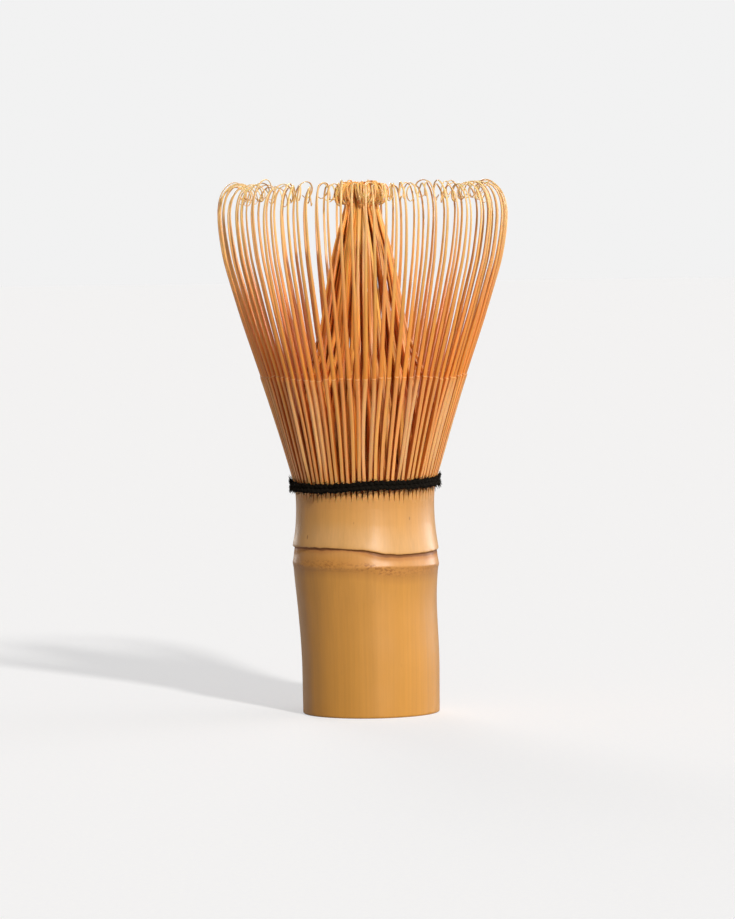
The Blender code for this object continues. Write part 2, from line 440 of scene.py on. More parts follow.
def make_tine_material(name, stops, streak=0.10, spread=0.13, rough=(0.42, 0.58), spec=0.3, skin=False, side=(0.63, 0.35, 0.13, 1)):
    """Split bamboo: the colour runs along the tine, with straight fibre streaks and a tone of its own on each tine."""
    n = Nodes(name)
    grain = n.attribute("grain", vector=True)
    along = n.attribute("along")
    tone = n.attribute("tone")
    colour = n.ramp(along, stops)
    fine = n.noise(n.scaled(grain, (9.0, 9.0, 0.10)), detail=3, rough=0.6)
    broad = n.noise(n.scaled(grain, (2.4, 2.4, 0.05)), detail=2, rough=0.5)
    nodes_ = n.noise(n.scaled(grain, (1.0, 1.0, 0.35)), detail=3, rough=0.6)
    lift = n.math("ADD", n.span(fine, 0.3, 0.7, -streak, streak), n.span(broad, 0.3, 0.7, -streak, streak))
    lift = n.math("ADD", lift, n.span(nodes_, 0.3, 0.7, -0.04, 0.04))
    lift = n.math("ADD", lift, n.span(tone, 0.0, 1.0, 1.0 - spread, 1.0 + spread))
    warm = n.span(n.noise(n.scaled(grain, (0.7, 0.7, 0.03)), detail=1), 0.3, 0.7, 0.492, 0.508)
    colour = n.value_shift(colour, lift, 1.0, warm)
    # the split faces are redder than the skin, and darkened further as painted shade in the gaps between tines
    colour = n.mix(n.attribute("side"), colour, n.mix(1.0, colour, side, "MULTIPLY"))
    # a paler, dusty cut where the tines are stepped
    cut = n.attribute("cut")
    colour = n.mix(n.math("MULTIPLY", cut, 0.55), colour, srgb(240, 196, 140))
    if skin:
        same, *_ = culm_colour(n, n.attribute("scar"), n.object_coords())
        colour = n.mix(n.attribute("root"), colour, same)
    n.link(colour, n.shader.inputs["Base Color"])
    n.link(n.span(fine, 0.3, 0.7, rough[0], rough[1]), n.shader.inputs["Roughness"])
    n.link(n.bump(fine, 0.3, 0.00006), n.shader.inputs["Normal"])
    n.shader.inputs["Specular IOR Level"].default_value = spec
    n.shader.inputs["Coat Weight"].default_value = 0.22
    n.shader.inputs["Coat Roughness"].default_value = 0.33
    n.shader.inputs["Subsurface Weight"].default_value = 0.25
    n.shader.inputs["Subsurface Radius"].default_value = (1.0, 0.42, 0.12)
    n.shader.inputs["Subsurface Scale"].default_value = 0.0009
    return n.mat


def make_thread_material():
    n = Nodes("black_cotton_thread")
    grain = n.attribute("grain", vector=True)
    tone = n.attribute("tone")
    ply = n.node("ShaderNodeTexWave", wave_type="BANDS", bands_direction="DIAGONAL")
    n.link(n.scaled(grain, (1.0, 1.0, 1.0)), ply.inputs["Vector"])
    ply.inputs["Scale"].default_value = 1.9
    ply.inputs["Distortion"].default_value = 1.4
    ply.inputs["Detail"].default_value = 2.0
    fuzz = n.noise(n.scaled(grain, (14, 14, 5)), detail=4, rough=0.7)
    dark = n.mix(n.span(tone, 0, 1), srgb(9, 7, 5), srgb(17, 14, 10))
    # painted highlight: the ply crests are painted lighter, as a sheen on the yarn
    colour = n.mix(n.math("MULTIPLY", ply.outputs["Fac"], n.span(fuzz, 0.4, 0.75)), dark, srgb(46, 39, 29))
    n.link(colour, n.shader.inputs["Base Color"])
    n.link(n.span(fuzz, 0.3, 0.7, 0.78, 0.95), n.shader.inputs["Roughness"])
    height = n.math("ADD", ply.outputs["Fac"], n.math("MULTIPLY", fuzz, 0.7))
    n.link(n.bump(height, 0.7, 0.00012), n.shader.inputs["Normal"])
    n.shader.inputs["Specular IOR Level"].default_value = 0.10
    return n.mat


SKIN = make_culm_skin()
CUT = make_culm_cut()
INSIDE = make_culm_inside()
OUTER = make_tine_material(
    "outer_tine_bamboo",
    [
        (0.00, srgb(222, 162, 88)),
        (0.07, srgb(242, 179, 106)),
        (0.10, srgb(243, 172, 96)),
        (0.395, srgb(239, 160, 83)),
        (0.405, srgb(238, 148, 56)),
        (0.60, srgb(241, 160, 76)),
        (0.74, srgb(245, 180, 104)),
        (0.86, srgb(246, 193, 122)),
        (0.94, srgb(246, 200, 132)),
        (1.00, srgb(248, 210, 150)),
    ],
    rough=(0.34, 0.48),
    spec=0.5,
    skin=True,
)
INNER = make_tine_material(
    "inner_tine_bamboo",
    [
        (0.00, srgb(246, 180, 104)),
        (0.25, srgb(252, 179, 93)),
        (0.55, srgb(255, 169, 75)),
        (0.80, srgb(255, 183, 90)),
        (0.93, srgb(255, 193, 108)),
        (1.00, srgb(255, 204, 128)),
    ],
    streak=0.12,
    spread=0.30,
    rough=(0.38, 0.52),
    spec=0.42,
)
THREAD = make_thread_material()

# ---------------------------------------------------------------- culm
scar_height = periodic(
    [-150, -115, -80, -52, -30, -10, 4, 11, 18, 28, 45, 80, 115, 150, 180],
    [34.85, 35.05, 35.28, 35.50, 35.52, 35.26, 34.92, 34.46, 34.22, 34.02, 34.04, 34.28, 34.60, 34.75, 34.85],
)
SCAR_MEAN = 34.6

culm_z = [
    46.0, 44.6, 42.0, 40.0, 38.0, 36.6, 35.6, 35.0, 34.78, 34.66,
    34.56, 34.46, 34.34, 34.2, 34.0, 33.6, 33.0, 32.4, 31.9, 31.6, 31.35, 31.1, 30.7,
    30.0, 29.0, 27.5, 25.0, 22.0, 17.0, 10.0, 3.0, -1.0,
]
culm_r = [
    14.50, 14.49, 14.53, 14.63, 14.84, 15.03, 15.20, 15.28, 15.30, 15.27,
    15.18, 14.97, 14.91, 14.93, 14.98, 15.03, 15.10, 15.20, 15.30, 15.36, 15.37, 15.32, 15.22,
    15.14, 15.05, 14.93, 14.75, 14.60, 14.50, 14.44, 14.38, 14.35,
]


def base_radius(z0):
    zs = np.array(culm_z[::-1])
    rs = np.array(culm_r[::-1])
    return np.interp(z0, zs, rs)


oval = ring_wave(3, [2, 3], 0.05)
ridge_wave = ring_wave(5, [1, 2, 3, 5, 7], 0.16)
fluting = ring_wave(9, [5, 8, 11, 17, 23], 0.014)
nibble = ring_wave(21, [13, 19, 27, 34, 43], 0.030)


def kink(z):
    return KINK_MM * smoothstep((KINK_TOP_Z - z) / (KINK_TOP_Z - KINK_LOW_Z))


def make_culm():
    columns = 256
    ang = np.arange(columns) / columns * math.tau
    az = azimuth(np.cos(ang), np.sin(ang))
    shift = scar_height(az) - SCAR_MEAN + nibble(az) * 0.8
    outer = np.concatenate(
        [
            [43.6],
            np.arange(43.0, 36.4, -0.6),
            [35.9, 35.5, 35.2, 35.0, 34.85, 34.75, 34.68, 34.62, 34.56, 34.50, 34.44, 34.36, 34.28, 34.18, 34.05, 33.85],
            np.arange(33.6, 32.2, -0.35),
            np.arange(32.1, 30.4, -0.16),
            np.arange(30.2, 27.9, -0.4),
            np.arange(27.5, 1.2, -0.9),
            [0.9, 0.55, 0.36],
        ]
    )
    rows = []  # (radius array, height array, scar array, slot of the faces above)
    flat = np.zeros(columns)
    high = flat + 30.0

    def row(r, z, scar, slot):
        rows.append((flat + r, flat + z, scar, slot))

    # from the middle of the cup's floor, out, up its wall and over the top edge
    lumps = ring_wave(31, [1, 2, 3, 5], 0.12)
    row(2.6, 34.0 + lumps(az) * 0.3, high, 2)
    row(5.6, 33.9 + lumps(az) * 0.6, high, 2)
    row(8.4, 33.9 + lumps(az), high, 2)
    row(10.2, 34.2 + lumps(az), high, 2)
    row(10.9, 35.0, high, 2)
    row(11.1, 37.5, high, 2)
    row(11.2, 40.5, high, 2)
    row(11.2, 43.5, high, 1)
    row(13.6, 43.55, high, 1)
    for z0 in outer:
        near = math.exp(-(((z0 - SCAR_MEAN) / 2.4) ** 2))
        z = z0 + shift * near
        ridge = math.exp(-(((z0 - 31.4) / 1.1) ** 2))
        z = z + ridge_wave(az) * ridge
        r = base_radius(z0) + oval(az) + fluting(az) * (1 - near)
        rows.append((r, z, z - scar_height(az) - nibble(az) * 0.8, 0))
    foot = base_radius(0.3) + oval(az)
    rows.append((foot - 0.05, flat + 0.18, flat - 34.5, 0))
    rows.append((foot - 0.18, flat + 0.05, flat - 34.6, 1))
    rows.append((foot - 0.36, flat + 0.0, flat - 34.7, 1))
    bore = 10.75 + ring_wave(33, [2, 3, 4], 0.10)(az)
    rows.append((bore + 0.5, flat + 0.0, high, 1))
    rows.append((bore + 0.12, flat + 0.12, high, 2))
    rows.append((bore, flat + 0.6, high, 2))
    for z in (6.0, 14.0, 22.0, 28.0, 30.6):
        rows.append((bore - 0.004 * z, flat + z, high, 2))
    row(9.8, 31.6, high, 2)
    row(8.0, 32.05 + lumps(az) * 0.5, high, 2)
    row(5.2, 32.1 + lumps(az) * 0.4, high, 2)
    row(2.4, 32.05 + lumps(az) * 0.2, high, 2)

    co, faces, slots, scar = [], [], [], []
    for r, z, s, _ in rows:
        x = r * np.cos(ang) + kink(z)
        y = r * np.sin(ang)
        co.append(np.column_stack([x, y, z]))
        scar.append(s)
    for k in range(len(rows) - 1):
        for i in range(columns):
            j = (i + 1) % columns
            faces.append((k * columns + i, (k + 1) * columns + i, (k + 1) * columns + j, k * columns + j))
            slots.append(rows[k][3] if rows[k][3] != 0 or rows[k + 1][3] == 0 else rows[k][3])
    co = np.concatenate(co)
    scar = np.concatenate(scar)
    top, bottom = len(co), len(co) + 1
    co = np.vstack([co, [0.0, 0.0, 34.0], [0.0 + 0.0, 0.0, 32.05]])
    scar = np.concatenate([scar, [30.0, 30.0]])
    last = (len(rows) - 1) * columns
    for i in range(columns):
        j = (i + 1) % columns
        faces.append((top, i, j))
        slots.append(2)
        faces.append((bottom, last + j, last + i))
        slots.append(2)
    b = Builder()
    b.add(co, faces, slots, scar=scar)
    obj = b.make("culm_body", [SKIN, CUT, INSIDE], 40.0)
    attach(obj, "culm")
    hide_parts("culm_handle")
    return obj


make_culm()

# ---------------------------------------------------------------- outer tines
OUTER_LINE = [
    (14.495, 42.9), (14.503, 43.8), (14.54, 45.2), (14.66, 46.8), (14.98, 48.4), (15.50, 50.4),
    (17.50, 57.3), (20.10, 65.7), (22.85, 74.1), (25.60, 82.5), (28.10, 90.9), (29.25, 95.1),
    (30.00, 99.3), (30.42, 103.0), (30.42, 106.0), (29.75, 108.7), (28.45, 110.5), (26.90, 111.25),
    (25.45, 110.95), (24.55, 109.9), (24.35, 108.7), (24.80, 107.8), (25.55, 107.75), (26.05, 108.4),
]
LINE = catmull(OUTER_LINE)
LINE_S = arc_length(LINE)
Z_TOP_S = LINE_S[np.argmax(LINE[:, 1])]


def outer_width(s, above):
    """Tine width, below the step where the skin is left on, and above it."""
    low = np.interp(s, [0, 3.8, 5.4, 8.0, 15.0, 28.0, 40.0], [1.145, 0.76, 0.71, 0.70, 0.78, 0.92, 1.0])
    high = np.interp(
        s,
        [24.0, 30.0, 36.0, 42.0, 48.0, 54.0, 60.0, 66.0, 71.0, 77.0],
        [1.02, 0.97, 0.90, 0.81, 0.71, 0.61, 0.53, 0.46, 0.40, 0.31],
    )
    return np.where(above, high, low)


def make_outer():
    total = LINE_S[-1]
    step_s0 = np.interp(70.8, LINE[:60 * 6, 1], LINE_S[: 60 * 6])
    drift = ring_wave(44, [2, 3, 5, 8], 0.22)
    lean = ring_wave(45, [1, 2, 4, 7], 0.18)
    for k in range(WEDGES):
        b = Builder()
        for j in range(PER_WEDGE):
            i = k * PER_WEDGE + j
            rng = np.random.RandomState(1000 + i)
            phi0 = math.radians(22.5 * k) + PITCH * (j - 2)
            step_s = step_s0 + drift(phi0) + rng.normal(0, 0.16)
            notch = 2.1 + rng.uniform(-0.5, 0.45)
            if rng.uniform() < 0.2:
                notch -= rng.uniform(0.3, 0.8)
            s = np.concatenate(
                [
                    [0.0, 0.7, notch],
                    np.linspace(notch + 0.35, 3.9, 5),
                    [4.6, 5.4],
                    np.linspace(6.2, 9.5, 4),
                    np.linspace(12.0, step_s - 0.6, 8),
                    [step_s - 0.12, step_s, step_s + 0.015, step_s + 0.2],
                    np.linspace(step_s + 3.0, 52.0, 9),
                    np.linspace(54.0, 66.0, 10),
                    np.linspace(66.9, total, 26),
                ]
            )
            n = len(s)
            r = np.interp(s, LINE_S, LINE[:, 0])
            z = np.interp(s, LINE_S, LINE[:, 1])
            h = np.clip((s - 6.0) / 58.0, 0.0, 1.3)
            tipward = np.clip((s - Z_TOP_S + 1.5) / (total - Z_TOP_S + 1.5), 0, 1)
            # each tine leans and wanders a little on its own
            a1, a2, a3 = rng.normal(0, 0.27), rng.normal(0, 0.16), rng.uniform(0, math.tau)
            lateral = (a1 + lean(phi0)) * h**2 + a2 * np.sin(math.pi * 1.4 * h + a3) * h
            lateral += rng.normal(0, 0.21) * np.sin(math.pi * np.clip((s - 4.0) / 24.0, 0, 1))
            # the cage is turned and sheared a little, so the far tines show between the near ones
            lateral += 0.5 * (0.0393 * r - r**2 / 525.0 * math.cos(phi0)) * smoothstep((s - 5.0) / 24.0)
            curl = rng.choice([-1.0, 1.0], p=[0.42, 0.58]) * rng.uniform(0.45, 1.35)
            back = rng.uniform(0.5, 1.25)
            lateral += curl * np.sin(math.pi * back * tipward) * np.interp(tipward, [0, 1], [0.9, 1.1])
            radial = rng.normal(0, 0.24) * h**2
            lift = rng.normal(0.0, 0.26) * h**3
            # the hook: its size differs from tine to tine
            hook = np.clip((s - Z_TOP_S) / (total - Z_TOP_S), 0, 1)
            pull = rng.uniform(-0.5, 0.6)
            r = r + radial + pull * hook**1.5 + oval(azimuth(math.cos(phi0), math.sin(phi0))) * np.exp(-s / 4.0)
            z = z + lift - rng.uniform(-0.35, 0.55) * hook
            phi = phi0 + lateral / np.maximum(r, 1.0)
            p = np.column_stack([r * np.cos(phi), r * np.sin(phi), z])
            t = unit(np.gradient(p, s, axis=0))
            side = np.column_stack([-np.sin(phi), np.cos(phi), np.zeros(n)])
            side = unit(side - t * np.sum(side * t, axis=1, keepdims=True))
            normal = np.cross(side, t)
            roll = rng.normal(0, 0.14) * h + rng.normal(0, 0.25) * tipward
            own = np.random.RandomState(9000 + i)
            bare = 1.0 if own.uniform() < 0.24 else 0.0
            mid_low = smoothstep((s - 5.5) / 7.0) * smoothstep((32.0 - s) / 10.0)
            roll = roll + bare * own.choice([-1, 1]) * own.uniform(0.25, 0.6) * mid_low
            c, sn = np.cos(roll)[:, None], np.sin(roll)[:, None]
            side, normal = side * c + normal * sn, normal * c - side * sn

            above = s > step_s + 0.005
            w = outer_width(s, above) * (1 + rng.normal(0, 0.04))
            pitch_w = 14.52 * PITCH * 1.012
            w = np.where(s <= notch + 1e-6, pitch_w, w)
            rising = (s > notch) & (s < 3.9)
            w = np.where(rising, pitch_w + (0.76 - pitch_w) * np.abs((s - notch) / (3.9 - notch)) ** 1.15, w)
            thick = np.interp(
                s,
                [0, 5, 10, 18, 28.0, 42.0, 52.0, 60.0, 66.0, 71.0, 78.0],
                [1.30, 1.25, 1.15, 1.05, 0.95, 0.72, 0.57, 0.46, 0.36, 0.28, 0.20],
            ) * (1 + rng.normal(0, 0.05))
            top = np.where(above, -0.17 * np.exp(-(s - step_s) / 50.0), 0.0)
            thick = np.where(above, thick - 0.17 * np.exp(-(s - step_s) / 50.0), thick)
            w = w * np.interp(s, [total - 1.2, total], [1.0, 0.72])
            hw = w / 2
            ch = np.interp(s, [notch, 5.5, 12.0], [0.0, 0.05, 0.09]) + 1e-4
            ch = np.minimum(ch, 0.16 * thick)
            crown = hw**2 / (2 * 14.6) * np.interp(s, [0, 8], [1, 0.4]) + 0.32 * hw * smoothstep((s - 5.0) / 24.0)
            v0, v1 = top, top - thick
            ring = [
                (-(hw - ch), v0 - crown), (-(hw - ch) / 3, v0 - 0.1 * crown), ((hw - ch) / 3, v0 - 0.1 * crown), (hw - ch, v0 - crown),
                (hw, v0 - crown - ch), (hw * 0.97, v1 + ch), (hw * 0.97 - ch, v1), (-(hw * 0.97 - ch), v1),
                (-hw * 0.97, v1 + ch), (-hw, v0 - crown - ch),
            ]
            sides = len(ring)
            co = np.zeros((n, sides, 3))
            grain = np.zeros((n, sides, 3))
            for q, (u, v) in enumerate(ring):
                co[:, q] = p + side * u[:, None] + normal * v[:, None]
                grain[:, q, 0] = u + 3.7 * i
                grain[:, q, 1] = v + 1.3 * i
                grain[:, q, 2] = s
            along = np.repeat(np.clip((z - 43.0) / 69.0, 0, 1), sides)
            cut = np.repeat(np.where(np.abs(s - step_s) < 0.1, 1.0, bare * own.uniform(0.5, 1.1) * mid_low * (s < step_s)), sides)
            tone = np.full(n * sides, rng.uniform(0, 1))
            # the tone fades out where the tine is still part of the culm
            tone = 0.5 + (tone - 0.5) * np.repeat(np.clip((s - 1.5) / 5.0, 0, 1), sides)
            faces = tube_faces(n, sides)
            skin_rings = int(np.sum(s < notch + 0.2)) - 1
            slots = [1 if f < skin_rings * sides else 0 for f in range(len(faces))]
            # the side values darken the split sides and back: redder split bamboo, plus painted shade between the
            # tines, strongest low down
            b.add(
                co.reshape(-1, 3), faces, slots,
                grain=grain.reshape(-1, 3), along=along, cut=cut, tone=tone,
                side=((np.interp(s, [3, 8, 26, 33, 46, 60], [0.6, 1.0, 0.85, 0.5, 0.35, 0.15]) * (1 - 0.6 * bare * mid_low))[:, None] * np.array([0, 0, 0, 0, 1, 1, 1, 1, 1, 1.0])).ravel(),
                scar=np.repeat(z - 34.5, sides), root=np.repeat(1 - smoothstep((s - 1.6) / 5.5), sides),
            )
        obj = b.make(f"outer_split_{k + 1:02d}", [OUTER, SKIN], 30.0)
        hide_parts(f"outer_tines_{k + 1:02d}")
        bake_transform(obj)


make_outer()

# ---------------------------------------------------------------- inner tines
INNER_LINE = [
    (12.2, 42.8), (12.2, 46.5), (12.05, 50.0), (11.3, 60.0), (10.6, 68.0), (9.75, 75.0), (8.1, 86.0),
    (6.1, 96.5), (4.35, 103.0), (3.55, 106.0), (3.35, 107.8), (3.60, 109.7), (4.25, 110.85), (5.05, 110.85),
    (5.60, 109.8), (5.62, 108.5), (5.25, 107.4), (4.60, 107.0),
]
IN_LINE = catmull(INNER_LINE)
IN_S = arc_length(IN_LINE)


def make_inner():
    total = IN_S[-1]
    neck_s = np.interp(106.2, IN_LINE[: 24 * 9 + 1, 1], IN_S[: 24 * 9 + 1])
    b = Builder()
    count = WEDGES * PER_WEDGE
    for i in range(count + 40):
        rng = np.random.RandomState(5000 + i)
        deep = i >= count
        phi0 = (i - count) * math.tau / 40 + 0.06 if deep else PITCH * (i - 2) + PITCH / 2
        layer = (0.0, 0.55, 0.25, 0.85, 0.1)[i % 5] + rng.uniform(-0.12, 0.12)
        s = np.concatenate(
            [np.linspace(0, 6, 3), np.linspace(9, neck_s - 4, 26), np.linspace(neck_s - 2.5, total, 24)]
        )
        n = len(s)
        r = np.interp(s, IN_S, IN_LINE[:, 0])
        z = np.interp(s, IN_S, IN_LINE[:, 1])
        h = np.clip((s - 5.0) / (neck_s - 5.0), 0, 1)
        end = np.clip((s - neck_s) / (total - neck_s), 0, 1)
        depth = layer * np.interp(h, [0, 0.25, 0.6, 0.85, 1.0], [0.0, 0.7, 1.2, 1.7, 1.9])
        loose = rng.uniform() < 0.42 and not deep
        r = r - depth * (1 - 0.15 * end)
        if deep:
            r = r - rng.uniform(1.2, 3.6) * np.interp(h, [0, 0.14, 0.5, 0.8, 1.0], [0.0, 1.0, 1.0, 0.55, 0.1])
        r = r + (rng.uniform(0.8, 3.9) if loose else 0.0) * np.sin(math.pi * np.clip(h / 0.6, 0, 1)) ** 2
        z = z + layer * 1.3 * end - rng.uniform(0.0, 0.5) * end + rng.normal(0, 0.15) * end
        swing = rng.normal(0, 1.0)
        bow = rng.normal(0, 0.45)
        lateral = swing * smoothstep(h * 1.05) + bow * np.sin(math.pi * h) + rng.normal(0, 0.16) * np.sin(math.tau * 1.5 * h)
        lateral = lateral + rng.normal(0, 0.42) * np.sin(math.pi * np.clip(h / 0.45, 0, 1))
        squeeze = np.interp(h, [0, 0.5, 1.0], [1.0, 0.8, 0.55])
        phi = phi0 + lateral * squeeze / np.maximum(r, 2.2)
        phi = phi + rng.normal(0, 0.30) * end
        p = np.column_stack([r * np.cos(phi), r * np.sin(phi), z])
        t = unit(np.gradient(p, s, axis=0))
        side = np.column_stack([-np.sin(phi), np.cos(phi), np.zeros(n)])
        side = unit(side - t * np.sum(side * t, axis=1, keepdims=True))
        normal = np.cross(side, t)
        # at the root the broad face is radial; it twists round to face outwards
        twist = math.radians(90) * (1 - smoothstep((h - 0.02) / (0.12 if loose else 0.30))) * (1 if i % 2 else -1)
        twist = twist + rng.normal(0, 0.38) * smoothstep(h / 0.4) + rng.normal(0, 0.3) * np.sin(math.pi * 2 * h)
        c, sn = np.cos(twist)[:, None], np.sin(twist)[:, None]
        side, normal = side * c + normal * sn, normal * c - side * sn
        w = np.interp(h, [0, 0.15, 0.4, 0.6, 0.8, 1.0], [1.25, 1.12, 0.83, 0.70, 0.61, 0.50]) * (1 + rng.normal(0, 0.10))
        w = w * np.interp(end, [0, 0.5, 1.0], [1.0, 0.84, 0.6])
        thick = np.interp(h, [0, 0.2, 0.4, 0.6, 1.0], [0.86, 0.72, 0.50, 0.36, 0.24]) * np.interp(end, [0, 1], [1.0, 0.75])
        hw, ht = w / 2, thick / 2
        ch = np.minimum(0.05, 0.3 * ht)
        ring = [
            (-(hw - ch), ht), (0 * hw, ht * 1.3), (hw - ch, ht), (hw, ht - ch), (hw, -(ht - ch)),
            (hw - ch, -ht), (-(hw - ch), -ht), (-hw, -(ht - ch)), (-hw, ht - ch),
        ]
        sides = len(ring)
        co = np.zeros((n, sides, 3))
        grain = np.zeros((n, sides, 3))
        for q, (u, v) in enumerate(ring):
            co[:, q] = p + side * u[:, None] + normal * v[:, None]
            grain[:, q, 0] = u + 2.9 * i
            grain[:, q, 1] = v + 1.7 * i
            grain[:, q, 2] = s
        along = np.repeat(np.clip(s / total, 0, 1), sides)
        # the side values darken the strips' edges and backs: redder split faces, plus painted shade for a rounded look
        # and in the gaps
        b.add(
            co.reshape(-1, 3), tube_faces(n, sides), grain=grain.reshape(-1, 3), along=along,
            cut=np.zeros(n * sides), tone=np.full(n * sides, rng.uniform(0, 1)),
            side=(np.interp(h, [0, 0.3, 0.8, 1.0], [0.95, 0.95, 0.7, 0.3])[:, None] * np.array([0.3, 0, 0.3, 1, 1, 0.5, 0.5, 1, 1.0])).ravel(),
        )
    obj = b.make("inner_split_bundle", [INNER], 30.0)
    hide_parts(*[f"inner_tines_{k + 1:02d}" for k in range(WEDGES)])
    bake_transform(obj)


make_inner()

# ---------------------------------------------------------------- thread
thread_height = periodic(
    [-150, -120, -90, -60, -35, -20, -5, 8, 25, 50, 75, 90, 120, 150, 180],
    [48.1, 48.0, 47.98, 47.86, 47.84, 48.02, 48.36, 48.52, 48.46, 48.56, 48.74, 48.86, 48.7, 48.4, 48.25],
)


def cord_points(ang, course):
    """Middle line of one course of the twined thread, at angles ang from +X."""
    az = azimuth(np.cos(ang), np.sin(ang))
    z = thread_height(az) + (0.44 if course else -0.44)
    beat = np.cos(ang * 80.0 + (0 if course else math.pi))
    r = 15.42 + 0.07 * beat + 0.06 * np.sin(ang * 7 + course)
    z = z + (0.30 if course else -0.26) * (np.abs(np.cos(ang * 40.0 + 0.3)) - 0.6) + 0.07 * np.sin(ang * 23 + 2 * course) + 0.05 * np.sin(ang * 41 + course) + 0.04 * np.sin(ang * 67 + course)
    return np.column_stack([r * np.cos(ang), r * np.sin(ang), z])


def strand(points, radius, sides, tone, builder, phase, closed=True, taper=None):
    """A yarn along points, with its own grain coordinates."""
    n = len(points)
    if closed:
        t = unit(np.roll(points, -1, axis=0) - np.roll(points, 1, axis=0))
    else:
        t = unit(np.gradient(points, axis=0))
    up = np.tile([0.0, 0.0, 1.0], (n, 1))
    flat = np.abs(t[:, 2]) > 0.95
    up[flat] = [1.0, 0.0, 0.0]
    a = unit(np.cross(up, t))
    c = np.cross(t, a)
    seg = np.linalg.norm(np.diff(points, axis=0), axis=1)
    s = np.concatenate([[0], np.cumsum(seg)])
    rad = np.full(n, radius) if taper is None else radius * taper
    co = np.zeros((n, sides, 3))
    grain = np.zeros((n, sides, 3))
    for q in range(sides):
        w = math.tau * q / sides
        co[:, q] = points + (a * math.cos(w) + c * math.sin(w)) * rad[:, None]
        grain[:, q] = np.column_stack([np.full(n, math.cos(w) * radius * 2 + phase), np.full(n, math.sin(w) * radius * 2), s])
    faces = []
    loops = n if closed else n - 1
    for k in range(loops):
        k2 = (k + 1) % n
        for q in range(sides):
            q2 = (q + 1) % sides
            faces.append((k * sides + q, k * sides + q2, k2 * sides + q2, k2 * sides + q))
    if not closed:
        faces.append(tuple(reversed(range(sides))))
        faces.append(tuple((n - 1) * sides + q for q in range(sides)))
    builder.add(co.reshape(-1, 3), faces, grain=grain.reshape(-1, 3), tone=np.full(n * sides, tone))


def make_thread():
    rng = np.random.RandomState(77)
    b = Builder()
    n = 640
    ang = np.arange(n) / n * math.tau
    turns = 84
    for course in (0, 1):
        mid = cord_points(ang, course)
        t = unit(np.roll(mid, -1, axis=0) - np.roll(mid, 1, axis=0))
        up = np.array([0.0, 0.0, 1.0])
        outward = unit(np.cross(t, up))
        upward = np.cross(outward, t)
        for ply in range(3):
            w = ang * turns * (1 if course else -1) + ply * math.tau / 3
            wob = 1 + 0.12 * np.sin(ang * 31 + ply)
            p = mid + (outward * np.cos(w)[:, None] + upward * np.sin(w)[:, None]) * (0.20 * wob)[:, None]
            strand(p, 0.285, 7, rng.uniform(0, 1), b, ply * 5.0 + course * 17)
    # the yarn's own core, behind the plies
    mid = (cord_points(ang, 0) + cord_points(ang, 1)) / 2
    strand(mid * np.array([0.985, 0.985, 1.0]), 0.40, 8, 0.2, b, 31.0)
    # loose fibres standing off the yarn
    for _ in range(1300):
        a0 = rng.uniform(0, math.tau)
        course = int(rng.randint(2))
        start = cord_points(np.array([a0]), course)[0]
        radial = np.array([math.cos(a0), math.sin(a0), 0.0])
        around = np.array([-math.sin(a0), math.cos(a0), 0.0])
        lift = rng.uniform(0.2, 1.5) * (1 if course else -1)
        start = start + radial * 0.34 * math.cos(lift) + np.array([0, 0, 0.42]) * math.sin(lift)
        lean = rng.normal(0.5 if course else -0.5, 0.8)
        rise = rng.normal(0.45 if course else -0.45, 0.45)
        length = rng.uniform(0.3, 1.0)
        q = np.linspace(0, 1, 4)[:, None]
        curl = rng.normal(0, 0.35)
        p = start + (radial * 0.45 + around * lean + np.array([0, 0, 1.0]) * rise) * length * q + around * curl * q**2 * length
        strand(p, 0.075, 3, 0.6, b, 3.0, closed=False, taper=np.array([1, 0.9, 0.7, 0.4]))
    obj = b.make("twined_thread", [THREAD], 60.0)
    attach(obj, "culm")
    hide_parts("thread_course_lower", "thread_course_upper")

    # the knot, with two short cut tails
    b = Builder()
    lo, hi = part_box("thread_knot")
    c = (np.array(lo) + np.array(hi)) / 2 / MM
    a0 = math.atan2(c[1], c[0])
    radial = np.array([math.cos(a0), math.sin(a0), 0.0])
    around = np.array([-math.sin(a0), math.cos(a0), 0.0])
    q = np.linspace(0, math.tau, 64, endpoint=False)
    p = c - radial * 0.25 + np.outer(np.sin(q) + 2 * np.sin(2 * q), around) * 0.20 + np.outer(np.sin(3 * q), radial) * 0.20
    p = p + np.outer(np.cos(q) - 2 * np.cos(2 * q), [0, 0, 1.0]) * 0.16
    strand(p, 0.21, 8, 0.4, b, 1.0)
    for sign, z in ((1, 0.35), (-1, 0.15)):
        q = np.linspace(0, 1, 14)[:, None]
        tail = c + around * sign * (0.2 + 1.0 * q) + radial * (-0.25 + 0.25 * np.sin(q * 2.2)) + np.array([0, 0, 1.0]) * z * np.sin(q * 2.0)
        strand(tail, 0.17, 8, 0.6, b, 8.0, closed=False)
    obj = b.make("thread_end_knot", [THREAD], 60.0)
    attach(obj, "culm")
    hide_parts("thread_knot")


make_thread()

# ---------------------------------------------------------------- floor, light, camera
def make_stage():
    n = Nodes("pale_paper_floor")
    coords = n.object_coords()
    tooth = n.noise(n.scaled(coords, (900, 900, 900)), detail=3)
    n.link(n.mix(n.span(tooth, 0.3, 0.7), (0.49, 0.49, 0.49, 1), (0.51, 0.51, 0.51, 1)), n.shader.inputs["Base Color"])
    n.shader.inputs["Roughness"].default_value = 0.95
    n.shader.inputs["Specular IOR Level"].default_value = 0.0
    n.shader.inputs["Emission Color"].default_value = (0.974, 1.012, 1.058, 1)
    # the paper glows evenly for the camera, and throws back less light on the whisk
    seen = n.node("ShaderNodeLightPath").outputs["Is Camera Ray"]
    n.link(n.math("MULTIPLY", seen, 0.483), n.shader.inputs["Emission Strength"])
    bm = bmesh.new()
    bmesh.ops.create_grid(bm, x_segments=2, y_segments=2, size=6.0)
    mesh = bpy.data.meshes.new("floor")
    bm.to_mesh(mesh)
    bm.free()
    mesh.materials.append(n.mat)
    floor = bpy.data.objects.new("floor", mesh)
    floor.location = (0, 0, 0)
    scene.collection.objects.link(floor)


